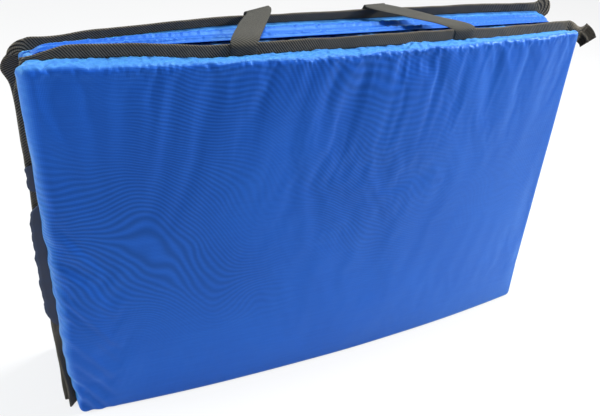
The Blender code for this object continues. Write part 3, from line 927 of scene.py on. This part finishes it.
def bindings():
    """The bindings of all three panels but for the middle one's top. The rear's top binding gets a
    mesh of its own.
    """
    top_nodes = ["front_binding_top_" + part for part in ("left", "middle", "right")]
    left_and_top = edge_route(FRONT, 0, 2)
    binding(FRONT, "front_binding", ["front_binding_left", *top_nodes], left_and_top, 1.0, True)
    below_top = PANEL_HEIGHT - 0.004
    right = [spot for spot in edge_route(FRONT, 2, 3) if spot[1] <= below_top]
    binding(FRONT, "front_side_binding", ["front_binding_right"], right, 12.0)
    for first, side in ((0, "left"), (2, "right")):
        route = edge_route(MIDDLE, first, first + 1)
        binding(MIDDLE, f"middle_{side}_binding", [f"middle_binding_{side}"], route, 2.0 + first)
    cut = REAR_HEIGHT - REAR_TOP_CUT
    top = [spot for spot in edge_route(REAR, 0, 3) if spot[1] > cut]
    top_nodes = ["rear_binding_top", "rear_allowance_top"]
    turned = binding(REAR, "rear_top_binding", top_nodes, top, 6.0)
    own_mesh(turned)
    joins = cut + BINDING_STEP
    left = [spot for spot in edge_route(REAR, 0, 1) if spot[1] <= joins]
    round_right = [spot for spot in edge_route(REAR, 2, 4) if spot[1] <= joins]
    binding(REAR, "rear_left_binding", ["rear_binding_left"], left, 6.0)
    nodes = ["rear_binding_right", "rear_binding_bottom"]
    binding(REAR, "rear_binding", nodes, round_right, 16.0)


def turned_down_binding():
    """The middle panel's top binding, turned down flat between the backs."""
    columns = 120
    side_width = 0.008
    section = [
        (0.0014, -0.0004),
        (0.0014, -0.0170),
        (0.0030, -0.0176),
        (0.0036, -0.0168),
        (0.0036, -0.0004),
    ]
    points, uv = [], []
    for k in range(columns + 1):
        x = PANEL_LENGTH * (0.5 - k / columns)
        for number, (y, z) in enumerate(section):
            crimp = 0.0003 * bump_at(x, 0.03, seed=14.0) if number in (1, 2, 3) else 0
            points.append((x, y, PANEL_HEIGHT + z + crimp))
            uv.append((x, number * side_width))
    faces = tube_faces(len(section), columns + 1)
    name, nodes = "middle_top_binding", ["middle_binding_top"]
    place, body = MIDDLE.place, MIDDLE.body
    mesh_piece(name, points, faces, place, BINDING, body, nodes, uv)


def fin_front(x, above):
    """A point on the front of the front panel's top binding, above its root."""
    y = bow_at(x, FRONT_BOW) - TAPE_FOLD / 2 - SEAM_INSET
    return FRONT.place @ Vector((x, y, PANEL_HEIGHT + above - float(settled(FRONT, x))))


def behind_rear(x, out, above):
    """A point behind the rear panel's back seam and above its top edge."""
    return REAR.place @ Vector((x, bow_at(x, REAR_BOW) + out, REAR_HEIGHT + above))


def handle_side(x, inward):
    """One side of the loop from over the rear binding down its back. Inward is 1 or -1 in X."""
    over = BINDING_STAND + WEBBING_THICKNESS + SEWN_GAP
    shoulder = x + inward * SHOULDER_IN
    flank = shoulder + inward * FLANK_IN
    mirror = Vector((inward, 1, 1))
    flat = Vector((inward, 0, 0))
    slant = Vector((inward, 0, CREST_SLANTS[inward]))
    return [
        (behind_rear(x, -CREST_FRONT, over + CREST_LIFT), slant),
        (behind_rear(x, CREST_BACK, over + CREST_LIFT / 2), slant),
        (behind_rear(x, FALL_BACK, over - FALL_DROP), flat),
        (behind_rear(shoulder, SHOULDER_BACK, -SHOULDER_DROP), Vector(SHOULDER_ACROSS) * mirror),
        (behind_rear(flank, FLANK_BACK, -FLANK_SHARE * HANDLE_HANG), Vector(FLANK_ACROSS) * mirror),
    ]


def handle_leg(x, crest, inward):
    """The loop from its sewn end at x, straight up and back to the crest over the rear binding."""
    flat = Vector((inward, 0, 0))
    off = Vector((0, -WEBBING_THICKNESS / 2, 0))
    root = fin_front(x, SEWN_GAP) + off
    end = fin_front(x, BINDING_STAND) + off
    between = (end + crest) / 2 + Vector((0, 0, LEG_LIFT))
    return [(root, flat), (end, flat), (between, flat)]


def handle_route():
    """Centres of the loop and the directions across it, from its left end to its right."""
    left = handle_side(HANDLE_LEFT_OVER_X, 1)
    right = handle_side(HANDLE_RIGHT_OVER_X, -1)
    middle_x = (HANDLE_LEFT_OVER_X + HANDLE_RIGHT_OVER_X) / 2
    lowest = (behind_rear(middle_x, LOWEST_BACK, -HANDLE_HANG), Vector(LOWEST_ACROSS))
    route = [
        *handle_leg(HANDLE_LEFT_X, left[0][0], 1),
        *left,
        lowest,
        *reversed(right),
        *reversed(handle_leg(HANDLE_RIGHT_X, right[0][0], -1)),
    ]
    for k, (centre, across) in enumerate(route):
        if across.y:
            way = route[k + 1][0] - route[k - 1][0]
            route[k] = (centre, (across - across.project(way)).normalized())
    return route


def smooth_between(points, spans, steps):
    """Points on a Catmull-Rom curve through the given ones, whose spans have the given sizes."""
    points = [2 * points[0] - points[1], *points, 2 * points[-1] - points[-2]]
    spans = [spans[0], *spans, spans[-1]]
    found = []
    for k in range(len(points) - 3):
        a, b, c, d = points[k : k + 4]
        before, span, after = spans[k : k + 3]
        leaving = c - b + span * ((b - a) / before - (c - a) / (before + span))
        arriving = c - b + span * ((d - c) / after - (d - b) / (span + after))
        for step in range(steps):
            t = step / steps
            cubic = (2 * (b - c) + leaving + arriving) * t**3
            square = (3 * (c - b) - 2 * leaving - arriving) * t**2
            found.append(cubic + square + leaving * t + b)
    return [*found, points[-2]]


def carry_loop():
    """The loop of webbing, with soft selvedges, sewn to the front top binding at both ends."""
    route = handle_route()
    spans = [math.sqrt((b[0] - a[0]).length) for a, b in zip(route, route[1:])]
    centres = smooth_between([centre for centre, _ in route], spans, HANDLE_STEPS)
    sides = smooth_between([side for _, side in route], spans, HANDLE_STEPS)
    last = len(centres) - 1
    upper = [(-0.5, 0.25), (-0.47, 0.5), (-0.2, 0.5), (0.2, 0.5), (0.47, 0.5), (0.5, 0.25)]
    ring = upper + [(-across, -level) for across, level in upper]
    points, uv, travelled = [], [], 0.0
    for k, centre in enumerate(centres):
        ahead = centres[min(k + 1, last)] - centres[max(k - 1, 0)]
        side = sides[k].normalized()
        reach = WEBBING_WIDTH / (side - side.project(ahead)).length
        facing = ahead.cross(side).normalized()
        if k:
            travelled += (centre - centres[k - 1]).length
        for across, level in ring:
            points.append(centre + side * reach * across + facing * WEBBING_THICKNESS * level)
            uv.append((travelled, (across + 0.5) * WEBBING_WIDTH + (0.1 if level < 0 else 0)))
    faces = tube_faces(len(ring), len(centres))
    nodes = ["carry_handle", "handle_end_left", "handle_end_right"]
    place = Matrix.Identity(4)
    piece = mesh_piece("carry_loop", points, faces, place, WEBBING, None, nodes, uv)
    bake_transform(piece)


def upper_hinge():
    """Cloth in the valley between the middle and rear panels, pleated where it is sewn."""
    columns, rows = 420, 25
    length = PANEL_LENGTH - 2 * CORNER_RADIUS
    points, uv = [], []
    for row in range(rows):
        share = 2 * row / (rows - 1) - 1
        for column in range(columns + 1):
            x = length * (column / columns - 0.5)
            pleat = waves_at(x, HINGE_PLEATS, seed=20.0)
            swell = HINGE_SWELL * bump_at(x, HINGE_SWELL_SIZE, seed=22.0)
            from_end = length / 2 - abs(x)
            ridge = math.exp(-(((abs(share) - RIDGE_AT) / RIDGE_SPAN) ** 2))
            ridge *= float(fade(from_end, 0.0, RIDGE_END_SPAN))
            rise = HINGE_CLOTH_OFF + ridge * (RIDGE_RISE + pleat + swell)
            rise -= HINGE_END_DROP * (1 - float(fade(from_end, 0.0, HINGE_END_SPAN)))
            back = HINGE_REACH * abs(share) - PANEL_THICKNESS
            back -= FACE_SPACE / 2 * (1 - abs(share))
            if share <= 0:
                spot = MIDDLE.place @ Vector((-x, back, PANEL_HEIGHT + rise))
            else:
                bowed = bow_at(x, REAR_BOW) * share
                rise -= float(settled(REAR, x)) * share * HINGE_REACH / PANEL_THICKNESS
                spot = REAR.place @ Vector((x, back + bowed, REAR_HEIGHT + rise))
            points.append(spot)
            uv.append((x, share * HINGE_REACH))
    nodes = ["upper_hinge_middle_leaf", "upper_hinge_rear_leaf"]
    faces = grid_faces(columns + 1, rows)
    place = Matrix.Identity(4)
    piece = mesh_piece("upper_hinge_cloth", points, faces, place, NYLON, None, nodes, uv)
    fold_over(piece)


def lower_hinge():
    """Tape along the floor that joins the front and middle panels' backs."""
    columns = 160
    off = HINGE_TAPE_OFF
    rises = [HINGE_REACH, HINGE_REACH / 2, 2 * off, off, 2 * off, HINGE_REACH / 2, HINGE_REACH]
    points, uv = [], []
    for number, rise in enumerate(rises):
        for column in range(columns + 1):
            x = PANEL_LENGTH * (column / columns - 0.5)
            y = BACK_SPACE / 2
            if number < 3:
                y = bow_at(x, FRONT_BOW) + off
            elif number > 3:
                y = BACK_SPACE - off
            points.append((x, y, rise))
            uv.append((x, number * HINGE_REACH / 2))
    nodes = ["lower_hinge_front_leaf", "lower_hinge_middle_leaf"]
    faces = grid_faces(columns + 1, len(rises))
    place = FRONT.place
    piece = mesh_piece("lower_hinge_tape", points, faces, place, BINDING, None, nodes, uv)
    fold_over(piece)


def fold_over(piece):
    """Gives a hinge cloth its thickness, and bakes its place into its mesh."""
    thicken(piece)
    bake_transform(piece)


def thicken(piece):
    """Gives a sheet the thickness of tape, half to each side."""
    cloth = piece.modifiers.new("thickness", "SOLIDIFY")
    cloth.thickness = TAPE_THICKNESS
    cloth.offset = 0


def loose_flaps():
    """Blue nylon that has come out of the front panel's left seam, over its binding, darkened to
    navy as painted shade.
    """
    for number, (low, high, wide) in enumerate(FLAPS):
        rows, columns = 60, 6
        points, uv = [], []
        for row in range(rows + 1):
            share = row / rows
            z = low + (high - low) * share
            coarse, fine = FLAP_EDGES
            ragged = coarse[0] * bump_at(z, coarse[1], seed=40.0 + number)
            ragged += fine[0] * bump_at(z, fine[1], seed=42.0)
            reach = (wide + ragged) * (1 - abs(2 * share - 1) ** 9)
            for column in range(columns + 1):
                out = reach * column / columns
                curl = FLAP_CURL * bump_at(z, FLAP_CURL_SIZE, seed=43.0)
                y = FLAP_DEPTH + out * (FLAP_LEAN + curl)
                points.append((-PANEL_LENGTH / 2 + FLAP_ROOT - out, y, z))
                uv.append((z, out))
        faces = grid_faces(columns + 1, rows + 1)
        name, place = f"side_flap_{number + 1}", FRONT.place
        flap = mesh_piece(name, points, faces, place, SHADED_NYLON, "front_panel", uv=uv)
        thicken(flap)


def stitches(name, body, ends):
    """One mesh of short threads, each an eight-faced spindle between its two ends."""
    points, faces = [], []
    for start, end in ends:
        way = (end - start).normalized()
        side = way.orthogonal().normalized()
        other = way.cross(side)
        base = len(points)
        points.append(start)
        points += [start.lerp(end, 0.5) + turn * THREAD for turn in (side, other, -side, -other)]
        points.append(end)
        for k in range(4):
            after = base + 1 + (k + 1) % 4
            faces.append((base, after, base + 1 + k))
            faces.append((base + 5, base + 1 + k, after))
    mesh_piece(name, points, faces, Matrix.Identity(4), SEWING, body)


def box_stitches():
    """The two boxes with crosses that hold the handle's ends."""
    half = WEBBING_WIDTH / 2 - BOX_INSET
    outline = ((-half, BOX_LOW), (half, BOX_LOW), (half, BOX_HIGH), (-half, BOX_HIGH))
    corners = [Vector(spot) for spot in outline]
    lines = [*zip(corners, corners[1:] + corners[:1]), corners[::2], corners[1::2]]
    off = Vector((0, -WEBBING_THICKNESS - 0.0002, 0))
    ends = []
    for x in (HANDLE_LEFT_X, HANDLE_RIGHT_X):
        for a, b in lines:
            count = max(2, round((b - a).length / BOX_STITCH))
            for k in range(count):
                spots = [a.lerp(b, (k + share) / count) for share in (0.15, 0.85)]
                ends.append([fin_front(x + spot.x, spot.y) + off for spot in spots])
    stitches("handle_stitches", "front_panel", ends)


def seam_stitches():
    """The two lines of stitches along each binding, one mesh for each panel."""
    for body, ends in SEAMS.items():
        stitches(body + "_seams", body, ends)


def camera():
    """The photographer's place, worked out from the panel's corners and edges in the photo."""
    side, away, high = CAMERA_FROM_FACE
    seen_from = Vector((side, away - PANEL_THICKNESS, high))
    place = Vector((LOWER_FOLD.x, FRONT_BACK_Y, 0)) + seen_from
    level = Vector((math.sin(CAMERA_YAW), math.cos(CAMERA_YAW), 0))
    ahead = level * math.cos(CAMERA_PITCH) - Vector((0, 0, math.sin(CAMERA_PITCH)))
    right = Vector((math.cos(CAMERA_YAW), -math.sin(CAMERA_YAW), 0))
    down = ahead.cross(right)
    across = right * math.cos(CAMERA_ROLL) + down * math.sin(CAMERA_ROLL)
    below = down * math.cos(CAMERA_ROLL) - right * math.sin(CAMERA_ROLL)
    data = bpy.data.cameras.new("camera")
    data.sensor_width = SENSOR_WIDTH
    data.lens = FOCAL_PIXELS / FRAME_WIDTH * SENSOR_WIDTH
    data.shift_x = (FRAME_WIDTH / 2 - MIDDLE_PIXEL[0]) / FRAME_WIDTH
    data.shift_y = (MIDDLE_PIXEL[1] - FRAME_HEIGHT / 2) / FRAME_WIDTH
    eye = bpy.data.objects.new("camera", data)
    bpy.context.scene.collection.objects.link(eye)
    turn = Matrix((across, -below, -ahead)).transposed().to_4x4()
    eye.matrix_world = Matrix.Translation(place) @ turn
    bpy.context.scene.camera = eye


def disk_light(name, place, target, size, power, colour):
    """A round lamp of a size in metres and a power in watts, turned to its target."""
    data = bpy.data.lights.new(name, "AREA")
    data.shape = "DISK"
    data.size = size
    data.energy = power
    data.color = colour
    lamp = bpy.data.objects.new(name, data)
    bpy.context.scene.collection.objects.link(lamp)
    lamp.location = place
    lamp.rotation_euler = (Vector(target) - Vector(place)).to_track_quat("-Z", "Y").to_euler()


def white_when_seen(tree, shader, output, share):
    """Shows white in place of a share of the shader, directly or in gloss. It lights nothing."""
    white = tree.nodes.new("ShaderNodeEmission")
    rays = tree.nodes.new("ShaderNodeLightPath")
    mix = tree.nodes.new("ShaderNodeMixShader")
    seen = rays.outputs["Is Camera Ray"]
    for kind in ("Is Glossy Ray", "Is Transmission Ray"):
        either = tree.nodes.new("ShaderNodeMath")
        either.operation = "MAXIMUM"
        tree.links.new(seen, either.inputs[0])
        tree.links.new(rays.outputs[kind], either.inputs[1])
        seen = either.outputs[0]
    part = tree.nodes.new("ShaderNodeMath")
    part.operation = "MULTIPLY"
    part.inputs[1].default_value = share
    tree.links.new(seen, part.inputs[0])
    tree.links.new(part.outputs[0], mix.inputs[0])
    tree.links.new(shader.outputs[0], mix.inputs[1])
    tree.links.new(white.outputs[0], mix.inputs[2])
    tree.links.new(mix.outputs[0], output.inputs["Surface"])


def studio():
    """A pale floor and backdrop, a key light at the right, one overhead and a fill at the left."""
    bpy.ops.mesh.primitive_plane_add(size=FLOOR_SIZE, location=(0, 0, 0))
    floor = bpy.context.object
    floor.name = "floor"
    look = Look("pale_floor")
    look.shade(Base_Color=FLOOR_GREY, Roughness=0.9)
    output = look.tree.nodes["Material Output"]
    white_when_seen(look.tree, look.surface, output, FLOOR_WHITE_SHARE)
    floor.data.materials.append(look.material)
    world = bpy.data.worlds.new("studio")
    bpy.context.scene.world = world
    world.use_nodes = True
    tree = world.node_tree
    backdrop = tree.nodes["Background"]
    backdrop.inputs["Color"].default_value = SKY_COLOUR
    backdrop.inputs["Strength"].default_value = SKY_STRENGTH
    white_when_seen(tree, backdrop, tree.nodes["World Output"], 1.0)
    for name, light in LIGHTS.items():
        disk_light(name, *light)
    bpy.context.scene.view_settings.view_transform = "Standard"


NYLON = satin_nylon()
BINDING = twill_tape("binding_tape", TAPE_DARK, TAPE_LIT_OLIVE)
WEBBING = twill_tape("handle_webbing", WEBBING_DARK, WEBBING_LIT_OLIVE)
# Painted shade: the flaps' blue nylon coloured a dark navy
SHADED_NYLON = plain_look("shaded_side_nylon", SHADED_NYLON_DARK, SHADED_NYLON_PALE, 60.0)
SEWING = plain_look("sewing_thread", THREAD_DARK, THREAD_PALE, 900.0)
SEAMS = {panel.body: [] for panel in (FRONT, MIDDLE, REAR)}

camera()
studio()
cushion(FRONT, front_wrinkles, front_slack)
cushion(MIDDLE, plain_wrinkles)
cushion(REAR, plain_wrinkles)
bindings()
turned_down_binding()
carry_loop()
upper_hinge()
lower_hinge()
loose_flaps()
box_stitches()
seam_stitches()
